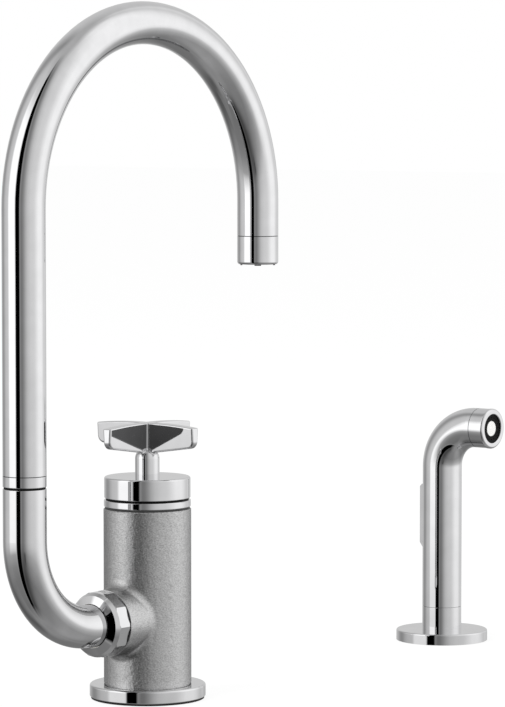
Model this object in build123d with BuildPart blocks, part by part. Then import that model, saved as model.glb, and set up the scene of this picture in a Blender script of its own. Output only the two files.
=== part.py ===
from build123d import *
from math import cos, hypot, radians, sin, tan
import os

# Side spray kitchen faucet, mm. Origin: axis of the main column on the deck plane. +Z is up,
# +X runs along the deck to the side spray, -Y faces the user. The spout lies over the X axis.

# ---------------------------------------------------------------- fits and clearances
RUN_FIT = 0.05          # radial clearance of a shaft that turns or slides in its bore
SEAT_FIT = 0.05         # radial clearance of a piece that is pressed or screwed into its seat
MOVE_GAP = 0.3          # between surfaces of bodies that move past each other
REST_GAP = 0.15         # under a lifting part that rests on a fixed one
SEAM_W = 0.35           # fine groove that marks a seam between chrome pieces
SEAM_D = 0.25

# ---------------------------------------------------------------- main column
GASKET_R = 33.4
GASKET_H = 1.2
BASE_R = 34.2
BASE_H = 7.4
BASE_RIM_R = 1.2        # rounding of the upper rim
BASE_FOOT_CHAMFER = 0.4
BASE_BORE_R = 22.0
COLUMN_R = 25.8
COLUMN_TOP = 112.2
CAVITY_R = 19.0         # foot cavity that takes the manifold
MANIFOLD_TOP = 32.0
CHAMBER_R = 8.0         # mixed water chamber on the column axis
CHAMBER_TOP = 70.0
SEAT_Z = 76.0           # floor that the cartridge is clamped to
UNION_Z = 48.0          # height of the union axis
BOSS_R = 19.4
BOSS_FACE = 37.5        # distance of the boss face from the column axis
BOSS_BLEND_R = 5.0
NOSE_R = 15.0           # threaded nose that the union nut screws onto
NOSE_LEN = 6.5
FOOT_LINE_H = 0.7       # dark line where the casting meets the flange
FOOT_LINE_D = 0.7
COLUMN_EDGE = 0.5       # chamfer on the top edge of the casting
OUTLET_BORE_R = 7.5

# ports in the manifold
SUPPLY_PORT_R = 4.5
SPRAY_PORT_R = 5.7
PORT_DEPTH = 12.0
SUPPLY_RADIUS = 12.2    # distance of the supply ports from the column axis
SUPPLY_ANGLE = 60.0     # degrees, each side of the X axis
RISER_R = 3.0
VALVE_BORE_R = 4.2      # bore of the non-return valves
VALVE_BORE_TOP = 24.0
VALVE_WAY_R = 1.7
STUD_HOLE_R = 3.4
STUD_DEPTH = 14.0
STUD_X = -11.2
STUD_SPACING = 13.0

# diverter
DIVERTER_STEM_R = 4.0
DIVERTER_WAY_R = 2.4     # water way up the hollow stem
DIVERTER_HEAD_R = 6.8
DIVERTER_HEAD_H = 2.7
DIVERTER_HEAD_CHAMFER = 0.8
DIVERTER_SLEEVE_H = 6.0

# ---------------------------------------------------------------- cartridge
CART_R = 17.5
CART_BASE_H = 4.0
CART_WALL = 2.4
CART_SHOULDER = 103.0   # the retaining nut bears on it
CART_NECK_R = 11.5
CART_NECK_TOP = 111.0
MIXED_PORT_X = -5.2
MIXED_PORT_R = 3.4
DISC_R = 14.6
DISC_H = 4.0
DISC_PORT_R = 2.4
DISC_PORT_SHIFT = 1.4    # disc ports lie this much nearer the axis than the base ports
MOVING_DISC_R = 13.6
POCKET_DEPTH = 2.0
POCKET_W = 11.0
POCKET_REACH = 5.6
SEAL_RING_R = 4.3
SEAL_WIRE_R = 0.6
SPINDLE_R = 6.0
SPINDLE_DRIVE_R = 5.0
SPINDLE_TOP = 142.0
SPINDLE_FLAT = 4.4       # distance of the set screw's flat from the axis
SPINDLE_FLAT_LEN = 12.0
SPINDLE_SEAL_WIRE_R = 0.7
SPINDLE_SEAL_Z = 99.5
NUT_BORE_R = 11.8
NUT_THREAD_R = 20.2
NUT_THREAD_H = 6.0
NUT_HEX_H = 5.0
NUT_HEX_R = 17.0

# ---------------------------------------------------------------- top of the column and handle
TRIM_WASHER_R = 24.9
TRIM_WASHER_H = 1.2
TRIM_BORE_R = 20.6
TRIM_R = 25.6
TRIM_H = 4.0
TRIM_EDGE_R = 0.5
GLIDE_R = 24.4
CAP_GAP = 1.2           # dark gap between the trim ring and the turning cap
CAP_R = 25.4
CAP_H = 12.4
CAP_CAVITY_R = 23.0
CAP_CEILING = 3.5
CAP_RIM_R = 1.2
CAP_FOOT_R = 0.4
STEM_R = 7.2
STEM_H = 16.0
STEM_SHOULDER_R = 5.3
SPIGOT_R = 6.5
SPIGOT_LEN = 10.0
LOCK_NUT_R = 12.0
LOCK_NUT_H = 5.0
BLADE_REACH = 36.7
BLADE_W = 6.4           # at the top of the middle
BLADE_TOP = 161.2       # at the tip
BLADE_CROWN = 1.6       # rise of the top edge towards the middle
BLADE_DRAFT = 4.0       # degrees, each side narrows downwards
BLADE_ROOT_Z = 144.2    # underside where the two slopes would meet
BLADE_TIP_Z = 149.6     # underside at the tip
BLADE_TIP_R = 4.4
BLADE_CORNER_R = 1.3    # upright corners of the tip
BLADE_EDGE_R = 0.8
BLADE_ROOT_R = 1.2      # blend of the blades into the stem and each other
SET_SCREW_R = 2.0
SET_SCREW_Z = 137.0
SET_SCREW_RECESS = 0.3
SET_SCREW_SOCKET_R = 1.1
SET_SCREW_SOCKET_DEPTH = 1.1

# ---------------------------------------------------------------- union, elbow and swivel
UNION_NUT_R = 19.3      # across the corners
UNION_NUT_FLATS = 10
UNION_NUT_START = 38.0   # distance from the column axis
UNION_NUT_LEN = 13.0
UNION_NUT_WALL = 2.8
UNION_NUT_FLAT_LEN = 8.8
UNION_NUT_CHAMFER = 0.6
UNION_NUT_COLLAR_R = 18.8   # where the round shoulder meets the flats
UNION_NUT_SHOULDER_R = 17.3
UNION_NUT_CONE_L = 1.9
UNION_NUT_FACE_R = 12.9
UNION_WASHER_H = 1.5
TAIL_FLANGE_R = 14.4
TAIL_BORE_R = 8.5
TAIL_SPIGOT_LEN = 5.5
TUBE_R = 12.5           # spout and elbow tube, 25 mm across
TUBE_WALL = 1.3
TUBE_EDGE_R = 0.4       # rounded edges at the swivel gap
ELBOW_RUN = 4.3         # straight length from the nut to the bend
ELBOW_R = 55.0
ELBOW_RISE = 29.6       # straight run above the elbow's bend
SWIVEL_GAP = 1.1        # dark bearing washer
POST_R = 9.5
POST_BORE_R = 7.0
POST_H = 29.4           # post above the elbow tube
POST_SPIGOT_LEN = 14.0
SWIVEL_WASHER_R = 11.9
ORING_WIRE_R = 1.15
ORING_RISES = (10.4, 17.4)
CLIP_RISE = 25.2
CLIP_H = 1.6
CLIP_R = 10.7
CLIP_GROOVE_R = 8.6
CLIP_MOUTH_W = 10.0

# ---------------------------------------------------------------- spout
FOOT_BAND_H = 6.5       # visible band at the foot of the spout
FOOT_SPIGOT_H = 17.3    # spigot inside the tube, above the band
SPOUT_RISE = 157.9      # straight run from the swivel to the arch
ARCH_R = 106.0
OUTLET_DROP = 21.1      # straight run from the arch to the outlet's seam
OUTLET_LEN = 17.4
OUTLET_SPIGOT_H = 7.0
OUTLET_RIM_R = 1.6
OUTLET_BORE_R_LOW = 10.6
OUTLET_BORE_R_TOP = 9.4
AERATOR_RECESS = 1.4
AERATOR_H = 9.0
AERATOR_HOLE_R = 1.1
AERATOR_PITCH = 3.2
AERATOR_ROWS = 5
AERATOR_LUG_W = 4.0     # lugs for a fitting key, just proud of the outlet
AERATOR_LUG_PROUD = 0.6
AERATOR_LUG_T = 1.3
AERATOR_LUG_TURN = 38.5  # degrees from the X axis to the first lug
SCREEN_H = 0.8
SCREEN_HOLE_R = 0.55
AERATOR_WASHER_H = 1.6

# ---------------------------------------------------------------- side spray holder
SPRAY_X = 298.0
SPRAY_FLANGE_R = 29.6
SPRAY_FLANGE_H = 6.9
SPRAY_RIM_R = 1.0
SPRAY_GASKET_R = 25.0
SPRAY_GASKET_BORE_R = 17.9
SPRAY_GASKET_H = 1.0
HOLDER_THREAD_R = 13.9
HOLDER_THREAD_H = 4.6
COLLAR_R = 12.7
COLLAR_TOP = 22.0
COLLAR_WALL = 1.0
COLLAR_EDGE_R = 0.3
BUSH_WALL = 1.0
BUSH_LIP = 0.9

# ---------------------------------------------------------------- side spray wand
WAND_R = 12.7
WAND_WALL = 1.2
WAND_BEND_R = 26.5
HEAD_AXIS_Z = 140.0
HEAD_SEAM_Y = 29.0      # distance of the seam from the wand axis
NOZZLE_Y = 40.0         # distance of the nozzle face from the wand axis
NOZZLE_RING_L = 2.4
NOZZLE_RING_R = 12.9
NOZZLE_LIP_R = 1.4       # rounding of the ring's outer lip
NOZZLE_LIP_INNER_R = 0.6
NOZZLE_BORE_R = 9.2
NOZZLE_CORE_R = 5.0
NOZZLE_CORE_EDGE_R = 0.5
NOZZLE_RECESS = 1.2
NOZZLE_INSERT_L = 6.0
JET_R = 0.45
JET_COUNT = 16
CONNECTOR_TOP = 38.0
CONNECTOR_NECK_R = 8.4
CONNECTOR_WAY_R = 4.5
HOSE_PORT_R = 5.7
HOSE_PORT_DEPTH = 10.0
CONNECTOR_SEAL_Z = 29.0
CONNECTOR_CLIP_Z = 35.4
CONNECTOR_CLIP_H = 1.2
CONNECTOR_CLIP_DEPTH = 0.9
CONNECTOR_CLIP_PROUD = 1.4
CONNECTOR_CLIP_MOUTH_W = 8.4
SLEEVE_TOP = 34.6

# trigger and spray valve
TRIGGER_LOW = 59.5
TRIGGER_HIGH = 101.4
TRIGGER_W = 10.0
TRIGGER_DRAFT = 7.5      # degrees, sides that lean in towards the finger
TRIGGER_PROUD = 2.6
TRIGGER_DEPTH = 4.4
TRIGGER_TOP_CHAMFER = 1.6
TRIGGER_LOW_BEVEL = 3.6
PIVOT_Z = 64.0
PIVOT_Y = 9.6           # distance of the trigger pin from the wand axis
PIVOT_PIN_R = 1.0
PIN_LEN = 14.6
KNUCKLE_R = 2.2
KNUCKLE_W = 8.0
ARM_W = 3.2
ARM_H = 2.4
VALVE_LOW = 42.0
VALVE_SEAT_Z = 54.0
VALVE_TOP = 57.0
VALVE_STEM_R = 1.6
VALVE_PASSAGE_R = 3.4
VALVE_HEAD_R = 5.0
VALVE_HEAD_H = 2.0
VALVE_SEAL_H = 1.0
VALVE_CHAMBER_R = 7.4
VALVE_CAP_H = 2.0
VALVE_CAP_BORE_R = 2.4
SPRING_WIRE_R = 0.45
SPRING_R = 3.6
SPRING_TURNS = 4.0

# ---------------------------------------------------------------- values that follow
base_top = GASKET_H + BASE_H
cap_low = COLUMN_TOP + TRIM_WASHER_H + TRIM_H + CAP_GAP
trim_low = COLUMN_TOP + TRIM_WASHER_H
cap_top = cap_low + CAP_H
tube_bore_r = TUBE_R - TUBE_WALL
elbow_z = UNION_Z + ELBOW_R
swivel_z = elbow_z + ELBOW_RISE
post_top = swivel_z + POST_H
clip_z = swivel_z + CLIP_RISE
foot_low = swivel_z + SWIVEL_GAP
foot_seam = foot_low + FOOT_BAND_H
arch_start = swivel_z + SPOUT_RISE
outlet_seam = arch_start - OUTLET_DROP
outlet_end = outlet_seam - OUTLET_LEN
nose_end = BOSS_FACE + NOSE_LEN
tail_face = nose_end + UNION_WASHER_H
nut_end = UNION_NUT_START + UNION_NUT_LEN
nut_wall_start = nut_end - UNION_NUT_WALL
nut_flat_end = UNION_NUT_START + UNION_NUT_FLAT_LEN
spout_x = -(nut_wall_start + ELBOW_RUN + ELBOW_R)
outlet_x = spout_x + 2 * ARCH_R
supply_x = SUPPLY_RADIUS * cos(radians(SUPPLY_ANGLE))
supply_y = SUPPLY_RADIUS * sin(radians(SUPPLY_ANGLE))
wand_bore_r = WAND_R - WAND_WALL
wand_low = COLLAR_TOP + REST_GAP
collar_bore_r = COLLAR_R - COLLAR_WALL
bush_bore_r = collar_bore_r - BUSH_WALL
connector_r = bush_bore_r - RUN_FIT
connector_low = HOLDER_THREAD_H + MOVE_GAP
bend_z = HEAD_AXIS_Z - WAND_BEND_R

os.makedirs("parts", exist_ok=True)


def disc(low, high, outer, inner=0.0, x=0.0):
    """A disc or ring about a vertical axis, joined to the part in hand."""
    with BuildSketch(Plane((x, 0, low))) as section:
        Circle(outer)
        if inner:
            Circle(inner, mode=Mode.SUBTRACT)
    extrude(section.sketch, amount=high - low)


def bore(low, high, radius, x=0.0, y=0.0):
    """A round hole about a vertical axis, cut from the part in hand."""
    with BuildSketch(Plane((x, y, low))) as section:
        Circle(radius)
    extrude(section.sketch, amount=high - low, mode=Mode.SUBTRACT)


def side_disc(start, end, outer, inner=0.0):
    """A disc or ring about the union axis, from one distance to another towards -X."""
    with BuildSketch(Plane((-start, 0, UNION_Z), x_dir=(0, 1, 0), z_dir=(-1, 0, 0))) as section:
        Circle(outer)
        if inner:
            Circle(inner, mode=Mode.SUBTRACT)
    extrude(section.sketch, amount=end - start)


def side_bore(start, end, radius):
    """A round hole about the union axis, cut from the part in hand."""
    with BuildSketch(Plane((-start, 0, UNION_Z), x_dir=(0, 1, 0), z_dir=(-1, 0, 0))) as section:
        Circle(radius)
    extrude(section.sketch, amount=end - start, mode=Mode.SUBTRACT)


def head_disc(start, end, outer, inner=0.0):
    """A disc or ring about the spray head's axis, from one distance to another towards -Y."""
    with BuildSketch(Plane((SPRAY_X, -start, HEAD_AXIS_Z), x_dir=(1, 0, 0), z_dir=(0, -1, 0))) as section:
        Circle(outer)
        if inner:
            Circle(inner, mode=Mode.SUBTRACT)
    extrude(section.sketch, amount=end - start)


# ================================================================ main column

# Rubber gasket between the escutcheon and the deck.
with BuildPart() as base_gasket:
    disc(0, GASKET_H, GASKET_R, CAVITY_R)
base_gasket.part.label = "base_gasket"
export_step(base_gasket.part, "parts/base_gasket.step")

# Chrome escutcheon ring that the column stands on.
with BuildPart() as base_flange:
    disc(GASKET_H, base_top, BASE_R, BASE_BORE_R)
    fillet(base_flange.edges().group_by(Axis.Z)[-1].sort_by(SortBy.RADIUS)[-1], BASE_RIM_R)
    chamfer(base_flange.edges().group_by(Axis.Z)[0].sort_by(SortBy.RADIUS)[-1], BASE_FOOT_CHAMFER)
base_flange.part.label = "base_flange"
export_step(base_flange.part, "parts/base_flange.step")

# Cast column: foot spigot, side boss with the union's threaded nose, and the water passages.
with BuildPart() as faucet_body:
    disc(base_top, base_top + FOOT_LINE_H, COLUMN_R - FOOT_LINE_D)
    disc(base_top + FOOT_LINE_H, COLUMN_TOP, COLUMN_R)
    chamfer(faucet_body.edges().group_by(Axis.Z)[-1], COLUMN_EDGE)
    side_disc(0, BOSS_FACE, BOSS_R)
    boss_edges = faucet_body.edges().filter_by(GeomType.BSPLINE)
    fillet(boss_edges, BOSS_BLEND_R)
    side_disc(BOSS_FACE, nose_end, NOSE_R)
    disc(GASKET_H, base_top, BASE_BORE_R - SEAT_FIT)
    bore(GASKET_H, MANIFOLD_TOP, CAVITY_R)
    bore(MANIFOLD_TOP, CHAMBER_TOP, CHAMBER_R)
    bore(CHAMBER_TOP, SEAT_Z, MIXED_PORT_R, MIXED_PORT_X)
    bore(SEAT_Z, CART_SHOULDER, CART_R + SEAT_FIT)
    bore(CART_SHOULDER, COLUMN_TOP, NUT_THREAD_R + SEAT_FIT)
    for side in (-1, 1):
        bore(MANIFOLD_TOP, SEAT_Z, RISER_R, supply_x, side * supply_y)
    side_bore(0, nose_end, OUTLET_BORE_R)
faucet_body.part.label = "faucet_body"
export_step(faucet_body.part, "parts/faucet_body.step")

# Brass block in the foot: two supply ports, the spray port and two blind stud holes.
with BuildPart() as inlet_manifold:
    disc(0, MANIFOLD_TOP, CAVITY_R - SEAT_FIT)
    for side in (-1, 1):
        bore(0, PORT_DEPTH, SUPPLY_PORT_R, supply_x, side * supply_y)
        bore(PORT_DEPTH, VALVE_BORE_TOP, VALVE_BORE_R, supply_x, side * supply_y)
        bore(VALVE_BORE_TOP, MANIFOLD_TOP, RISER_R, supply_x, side * supply_y)
        bore(0, STUD_DEPTH, STUD_HOLE_R, STUD_X, side * STUD_SPACING / 2)
    bore(0, PORT_DEPTH, SPRAY_PORT_R)
    bore(PORT_DEPTH, MANIFOLD_TOP, DIVERTER_STEM_R + RUN_FIT)
inlet_manifold.part.label = "inlet_manifold"
export_step(inlet_manifold.part, "parts/inlet_manifold.step")

# Two non-return valve inserts above the supply threads.
with BuildPart() as check_valves:
    for side in (-1, 1):
        with BuildSketch(Plane((supply_x, side * supply_y, PORT_DEPTH))) as insert_section:
            Circle(VALVE_BORE_R - SEAT_FIT)
            Circle(VALVE_WAY_R, mode=Mode.SUBTRACT)
        extrude(insert_section.sketch, amount=VALVE_BORE_TOP - PORT_DEPTH)
check_valves.part.label = "check_valves"
export_step(check_valves.part, "parts/check_valves.step")

# Diverter: a fixed sleeve at the bottom of the chamber, and the piston that lifts off it.
with BuildPart() as diverter_sleeve:
    disc(MANIFOLD_TOP, MANIFOLD_TOP + DIVERTER_SLEEVE_H, CHAMBER_R - SEAT_FIT, DIVERTER_STEM_R + RUN_FIT)
diverter_sleeve.part.label = "diverter_sleeve"
export_step(diverter_sleeve.part, "parts/diverter_sleeve.step")

piston_seat = MANIFOLD_TOP + DIVERTER_SLEEVE_H
with BuildPart() as diverter_piston:
    disc(MANIFOLD_TOP - DIVERTER_SLEEVE_H, piston_seat + MOVE_GAP, DIVERTER_STEM_R)
    disc(piston_seat + MOVE_GAP, piston_seat + MOVE_GAP + DIVERTER_HEAD_H, DIVERTER_HEAD_R)
    chamfer(diverter_piston.edges().group_by(Axis.Z)[-1], DIVERTER_HEAD_CHAMFER)
    bore(MANIFOLD_TOP - DIVERTER_SLEEVE_H, piston_seat, DIVERTER_WAY_R)
diverter_piston.part.label = "diverter_piston"
export_step(diverter_piston.part, "parts/diverter_piston.step")

# ================================================================ mixing cartridge

ports = ((supply_x, supply_y), (supply_x, -supply_y), (MIXED_PORT_X, 0.0))
seal_h = 2 * SEAL_WIRE_R
disc_low = SEAT_Z + CART_BASE_H

# Plastic base with three ports, each with a seal groove below.
with BuildPart() as cartridge_base:
    disc(SEAT_Z, disc_low, CART_R)
    for port_x, port_y in ports:
        bore(SEAT_Z, disc_low, RISER_R, port_x, port_y)
        with BuildSketch(Plane((port_x, port_y, SEAT_Z))) as groove:
            Circle(SEAL_RING_R + SEAL_WIRE_R)
            Circle(SEAL_RING_R - SEAL_WIRE_R, mode=Mode.SUBTRACT)
        extrude(groove.sketch, amount=seal_h, mode=Mode.SUBTRACT)
cartridge_base.part.label = "cartridge_base"
export_step(cartridge_base.part, "parts/cartridge_base.step")

# Three rubber rings in the grooves.
with BuildPart() as cartridge_seals:
    for port_x, port_y in ports:
        seal_plane = Plane((port_x + SEAL_RING_R, port_y, SEAT_Z + SEAL_WIRE_R), z_dir=(0, 1, 0))
        with BuildSketch(seal_plane) as wire_section:
            Circle(SEAL_WIRE_R)
        revolve(wire_section.sketch, axis=Axis((port_x, port_y, 0), (0, 0, 1)))
cartridge_seals.part.label = "cartridge_seals"
export_step(cartridge_seals.part, "parts/cartridge_seals.step")

# Ceramic discs: the fixed one has the ports, the turning one has a pocket that joins them.
with BuildPart() as fixed_disc:
    disc(disc_low, disc_low + DISC_H, DISC_R)
    for port_x, port_y in ports:
        inward = 1 - DISC_PORT_SHIFT / Vector(port_x, port_y).length
        bore(disc_low, disc_low + DISC_H, DISC_PORT_R, port_x * inward, port_y * inward)
fixed_disc.part.label = "fixed_disc"
export_step(fixed_disc.part, "parts/fixed_disc.step")

moving_low = disc_low + DISC_H
drive_low = moving_low + DISC_H
with BuildPart() as moving_disc:
    disc(moving_low, drive_low, MOVING_DISC_R)
    with BuildSketch(Plane((0, 0, moving_low))) as pocket:
        SlotCenterToCenter(POCKET_REACH, POCKET_W)
    extrude(pocket.sketch, amount=POCKET_DEPTH, mode=Mode.SUBTRACT)
moving_disc.part.label = "moving_disc"
export_step(moving_disc.part, "parts/moving_disc.step")

# Plastic shell over the discs, with a shoulder for the retaining nut and a neck.
drive_top = drive_low + DISC_H
with BuildPart() as cartridge_shell:
    disc(disc_low, CART_SHOULDER, CART_R)
    disc(CART_SHOULDER, CART_NECK_TOP, CART_NECK_R)
    bore(disc_low, drive_top + MOVE_GAP, CART_R - CART_WALL)
    bore(drive_top + MOVE_GAP, CART_NECK_TOP, SPINDLE_R + RUN_FIT)
cartridge_shell.part.label = "cartridge_shell"
export_step(cartridge_shell.part, "parts/cartridge_shell.step")

# Brass spindle: drive plate on the turning disc, shaft with a seal groove, flat for the set screw.
with BuildPart() as spindle:
    disc(drive_low, drive_top, MOVING_DISC_R)
    disc(drive_top, CART_NECK_TOP, SPINDLE_R)
    disc(CART_NECK_TOP, SPINDLE_TOP, SPINDLE_DRIVE_R)
    groove_wire = Plane((SPINDLE_R - SPINDLE_SEAL_WIRE_R, 0, SPINDLE_SEAL_Z), z_dir=(0, 1, 0))
    with BuildSketch(groove_wire) as groove:
        Rectangle(2 * SPINDLE_SEAL_WIRE_R, 2 * SPINDLE_SEAL_WIRE_R)
    revolve(axis=Axis.Z, mode=Mode.SUBTRACT)
    with BuildSketch(Plane((0, SPINDLE_FLAT, SPINDLE_TOP - SPINDLE_FLAT_LEN))) as flat:
        Rectangle(2 * SPINDLE_DRIVE_R, SPINDLE_DRIVE_R, align=(Align.CENTER, Align.MIN))
    extrude(flat.sketch, amount=SPINDLE_FLAT_LEN, mode=Mode.SUBTRACT)
spindle.part.label = "spindle"
export_step(spindle.part, "parts/spindle.step")

with BuildPart() as spindle_seal:
    with BuildSketch(groove_wire):
        Circle(SPINDLE_SEAL_WIRE_R)
    revolve(axis=Axis.Z)
spindle_seal.part.label = "spindle_seal"
export_step(spindle_seal.part, "parts/spindle_seal.step")

# Brass retaining nut: threaded skirt in the column's mouth and a hexagon above it.
with BuildPart() as cartridge_nut:
    disc(CART_SHOULDER, CART_SHOULDER + NUT_THREAD_H, NUT_THREAD_R)
    with BuildSketch(Plane((0, 0, CART_SHOULDER + NUT_THREAD_H))) as hexagon:
        RegularPolygon(NUT_HEX_R, 6)
    extrude(hexagon.sketch, amount=NUT_HEX_H)
    bore(CART_SHOULDER, CART_SHOULDER + NUT_THREAD_H + NUT_HEX_H, NUT_BORE_R)
cartridge_nut.part.label = "cartridge_nut"
export_step(cartridge_nut.part, "parts/cartridge_nut.step")

# ================================================================ top of the column

with BuildPart() as trim_washer:
    disc(COLUMN_TOP, trim_low, TRIM_WASHER_R, TRIM_BORE_R)
trim_washer.part.label = "trim_washer"
export_step(trim_washer.part, "parts/trim_washer.step")

with BuildPart() as trim_ring:
    disc(trim_low, trim_low + TRIM_H, TRIM_R, TRIM_BORE_R)
    fillet(trim_ring.edges().group_by(Axis.Z)[-1].sort_by(SortBy.RADIUS)[-1], TRIM_EDGE_R)
    fillet(trim_ring.edges().group_by(Axis.Z)[0].sort_by(SortBy.RADIUS)[-1], TRIM_EDGE_R)
trim_ring.part.label = "trim_ring"
export_step(trim_ring.part, "parts/trim_ring.step")

# Dark plastic ring that the cap glides over.
with BuildPart() as cap_glide:
    disc(trim_low + TRIM_H, cap_low - MOVE_GAP, GLIDE_R, TRIM_BORE_R)
cap_glide.part.label = "cap_glide"
export_step(cap_glide.part, "parts/cap_glide.step")

# ================================================================ handle

# Chrome cap, a cup turned over, clamped between the stem and the lock nut.
with BuildPart() as bonnet_cap:
    disc(cap_low, cap_top, CAP_R, SPIGOT_R + SEAT_FIT)
    bore(cap_low, cap_top - CAP_CEILING, CAP_CAVITY_R)
    fillet(bonnet_cap.edges().group_by(Axis.Z)[-1].sort_by(SortBy.RADIUS)[-1], CAP_RIM_R)
    fillet(bonnet_cap.edges().group_by(Axis.Z)[0].sort_by(SortBy.RADIUS)[-1], CAP_FOOT_R)
bonnet_cap.part.label = "bonnet_cap"
export_step(bonnet_cap.part, "parts/bonnet_cap.step")

with BuildPart() as cap_lock_nut:
    with BuildSketch(Plane((0, 0, cap_top - CAP_CEILING - LOCK_NUT_H))) as hexagon:
        RegularPolygon(LOCK_NUT_R, 6)
        Circle(SPIGOT_R + SEAT_FIT, mode=Mode.SUBTRACT)
    extrude(hexagon.sketch, amount=LOCK_NUT_H)
cap_lock_nut.part.label = "cap_lock_nut"
export_step(cap_lock_nut.part, "parts/cap_lock_nut.step")

# One bar of the cross, two blades long: its sides narrow downwards, its top is slightly
# crowned and its underside slopes up to the rounded tips.
crown_z = BLADE_TOP + BLADE_CROWN
blade_low_w = BLADE_W - 2 * (crown_z - BLADE_ROOT_Z) * tan(radians(BLADE_DRAFT))


def at_tip_corner(edge):
    """True for the upright corners of the two tips."""
    return abs(edge.tangent_at(0.5).Z) > cos(radians(2 * BLADE_DRAFT))


def across_middle(edge):
    """True for the line across the bar under its middle."""
    return abs(edge.center().X) < BLADE_EDGE_R and edge.length < BLADE_W


with BuildPart() as blade_bar:
    with BuildSketch(Plane.YZ.offset(-BLADE_REACH)) as bar_section:
        with BuildLine():
            Polyline((-BLADE_W / 2, crown_z), (-blade_low_w / 2, BLADE_ROOT_Z),
                     (blade_low_w / 2, BLADE_ROOT_Z), (BLADE_W / 2, crown_z), close=True)
        make_face()
    extrude(bar_section.sketch, amount=2 * BLADE_REACH)
    with BuildSketch(Plane.XZ.offset(-BLADE_W)) as bar_side:
        with BuildLine():
            Polyline((-BLADE_REACH, BLADE_TOP), (-BLADE_REACH, BLADE_TIP_Z), (0, BLADE_ROOT_Z),
                     (BLADE_REACH, BLADE_TIP_Z), (BLADE_REACH, BLADE_TOP))
            Line((-BLADE_W, crown_z), (BLADE_W, crown_z))
            TangentArc((BLADE_W, crown_z), (BLADE_REACH, BLADE_TOP), tangent=(1, 0))
            TangentArc((-BLADE_W, crown_z), (-BLADE_REACH, BLADE_TOP), tangent=(-1, 0))
        make_face()
        fillet(bar_side.vertices().group_by(Axis.X)[0].sort_by(Axis.Y)[0], BLADE_TIP_R)
        fillet(bar_side.vertices().group_by(Axis.X)[-1].sort_by(Axis.Y)[0], BLADE_TIP_R)
    extrude(bar_side.sketch, amount=2 * BLADE_W, mode=Mode.INTERSECT)
    fillet(blade_bar.edges().filter_by(at_tip_corner), BLADE_CORNER_R)
    round_edges = blade_bar.edges().filter_by(at_tip_corner, reverse=True)
    fillet(round_edges.filter_by(across_middle, reverse=True), BLADE_EDGE_R)

# Cross handle: two crossed bars on a round stem with a threaded spigot, bored for the spindle.
stem_top = cap_top + STEM_H


def at_root(edge):
    """True for an edge where the blades meet the stem or each other."""
    middle = edge.center()
    near_axis = hypot(middle.X, middle.Y) < STEM_R + BLADE_EDGE_R
    return near_axis and BLADE_ROOT_Z < middle.Z < BLADE_TOP - BLADE_EDGE_R


with BuildPart() as cross_handle:
    disc(cap_top, stem_top, STEM_R)
    fillet(cross_handle.edges().group_by(Axis.Z)[-1], STEM_SHOULDER_R)
    add(blade_bar.part)
    add(blade_bar.part, rotation=(0, 0, 90))
    fillet(cross_handle.edges().filter_by(at_root), BLADE_ROOT_R)
    disc(cap_top - SPIGOT_LEN, cap_top, SPIGOT_R)
    bore(cap_top - SPIGOT_LEN, SPINDLE_TOP + MOVE_GAP, SPINDLE_DRIVE_R + SEAT_FIT)
    with BuildSketch(Plane((0, 0, SET_SCREW_Z), x_dir=(1, 0, 0), z_dir=(0, 1, 0))) as screw_hole:
        Circle(SET_SCREW_R + SEAT_FIT)
    extrude(screw_hole.sketch, amount=STEM_R, mode=Mode.SUBTRACT)
cross_handle.part.label = "cross_handle"
export_step(cross_handle.part, "parts/cross_handle.step")

# Set screw in the back of the stem, on the spindle's flat.
screw_end = STEM_R - SET_SCREW_RECESS
with BuildPart() as handle_set_screw:
    with BuildSketch(Plane((0, SPINDLE_FLAT, SET_SCREW_Z), z_dir=(0, 1, 0))) as screw_section:
        Circle(SET_SCREW_R)
    extrude(screw_section.sketch, amount=screw_end - SPINDLE_FLAT)
    with BuildSketch(Plane((0, screw_end, SET_SCREW_Z), x_dir=(1, 0, 0), z_dir=(0, -1, 0))) as socket:
        RegularPolygon(SET_SCREW_SOCKET_R, 6)
    extrude(socket.sketch, amount=SET_SCREW_SOCKET_DEPTH, mode=Mode.SUBTRACT)
handle_set_screw.part.label = "handle_set_screw"
export_step(handle_set_screw.part, "parts/handle_set_screw.step")

# ================================================================ union and elbow

# Union nut threaded over the boss's nose: ten flats, then a round shoulder and a shallow
# cone towards the tube.
with BuildPart() as union_nut:
    nut_plane = Plane((-UNION_NUT_START, 0, UNION_Z), x_dir=(0, -1, 0), z_dir=(-1, 0, 0))
    with BuildSketch(nut_plane) as nut_section:
        RegularPolygon(UNION_NUT_R, UNION_NUT_FLATS)
    extrude(nut_section.sketch, amount=UNION_NUT_FLAT_LEN)
    axis_plane = Plane((0, 0, UNION_Z), x_dir=(-1, 0, 0), z_dir=(0, -1, 0))
    with BuildSketch(axis_plane) as nut_corners:
        with BuildLine():
            Polyline((UNION_NUT_START, 0), (UNION_NUT_START, UNION_NUT_R - UNION_NUT_CHAMFER),
                     (UNION_NUT_START + UNION_NUT_CHAMFER, UNION_NUT_R),
                     (nut_flat_end - UNION_NUT_CHAMFER, UNION_NUT_R),
                     (nut_flat_end, UNION_NUT_COLLAR_R), (nut_flat_end, 0), close=True)
        make_face()
    revolve(nut_corners.sketch, axis=Axis((0, 0, UNION_Z), (1, 0, 0)), mode=Mode.INTERSECT)
    with BuildSketch(axis_plane) as nut_cone:
        with BuildLine():
            Polyline((nut_flat_end, 0), (nut_flat_end, UNION_NUT_COLLAR_R),
                     (nut_end - UNION_NUT_CONE_L, UNION_NUT_SHOULDER_R),
                     (nut_end, UNION_NUT_FACE_R), (nut_end, 0), close=True)
        make_face()
    revolve(nut_cone.sketch, axis=Axis((0, 0, UNION_Z), (1, 0, 0)))
    side_bore(UNION_NUT_START, nut_wall_start, NOSE_R + SEAT_FIT)
    side_bore(nut_wall_start, nut_end, TUBE_R + MOVE_GAP)
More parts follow.
